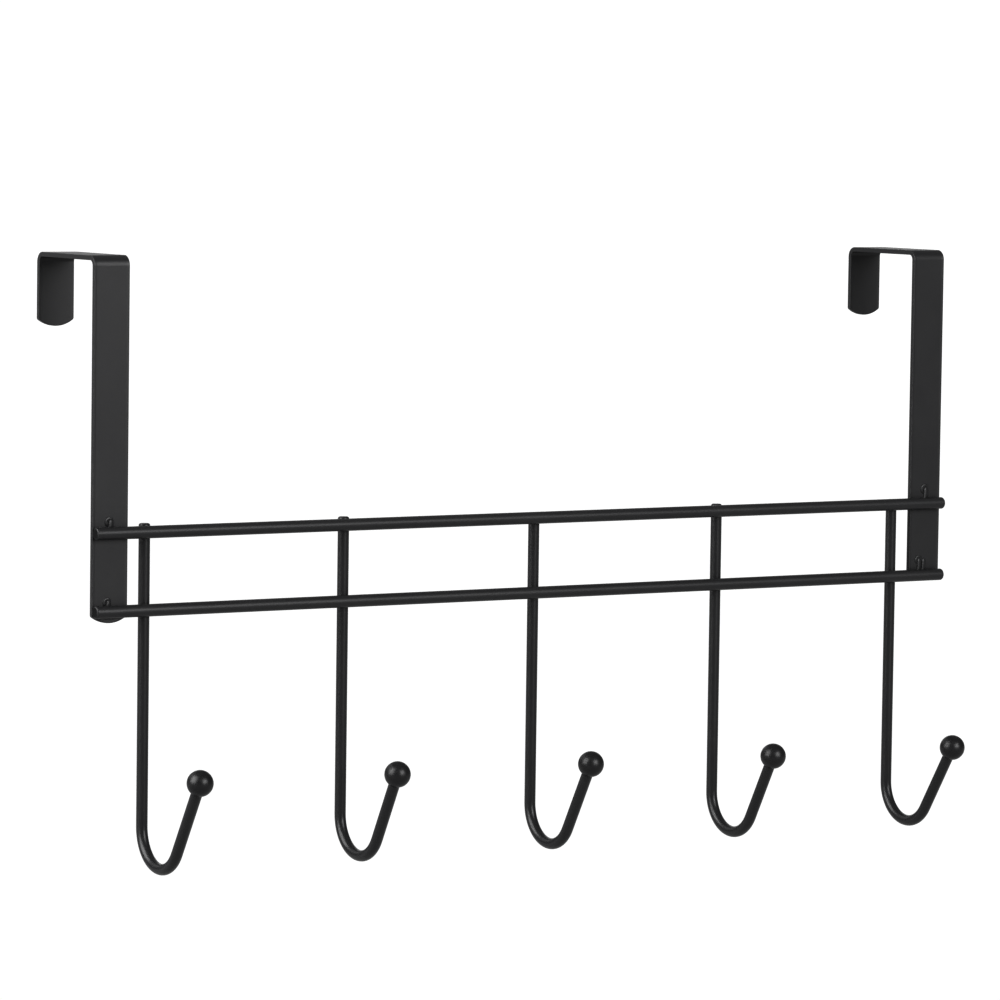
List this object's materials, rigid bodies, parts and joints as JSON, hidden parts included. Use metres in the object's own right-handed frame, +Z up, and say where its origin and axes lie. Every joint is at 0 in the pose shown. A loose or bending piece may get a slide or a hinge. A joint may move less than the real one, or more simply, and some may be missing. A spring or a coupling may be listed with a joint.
{
  "type": "over door hook",
  "caption": "Over-door hook rack: two bent straps hold two round rails with J-shaped wire hooks, each ending in a ball tip.",
  "frame": {"origin": "midway between the two straps, on the plane of the legs' front faces and of the bridges' undersides", "axes": "+X along the rails to the right seen from the room, +Y from the room into the door, +Z up"},
  "size_m": [0.4302, 0.1016, 0.2556],
  "materials": {
    "black_coat": "satin black powder coat"
  },
  "bodies": {
    "root": {"strap_left": "black_coat", "strap_right": "black_coat", "rail_upper": "black_coat", "rail_lower": "black_coat", "hook_wire_1": "black_coat", "hook_ball_1": "black_coat", "hook_wire_2": "black_coat", "hook_ball_2": "black_coat", "hook_wire_3": "black_coat", "hook_ball_3": "black_coat", "hook_wire_4": "black_coat", "hook_ball_4": "black_coat", "hook_wire_5": "black_coat", "hook_ball_5": "black_coat", "weld_tacks_left": "black_coat", "weld_tacks_right": "black_coat"}
  },
  "joints": []
}
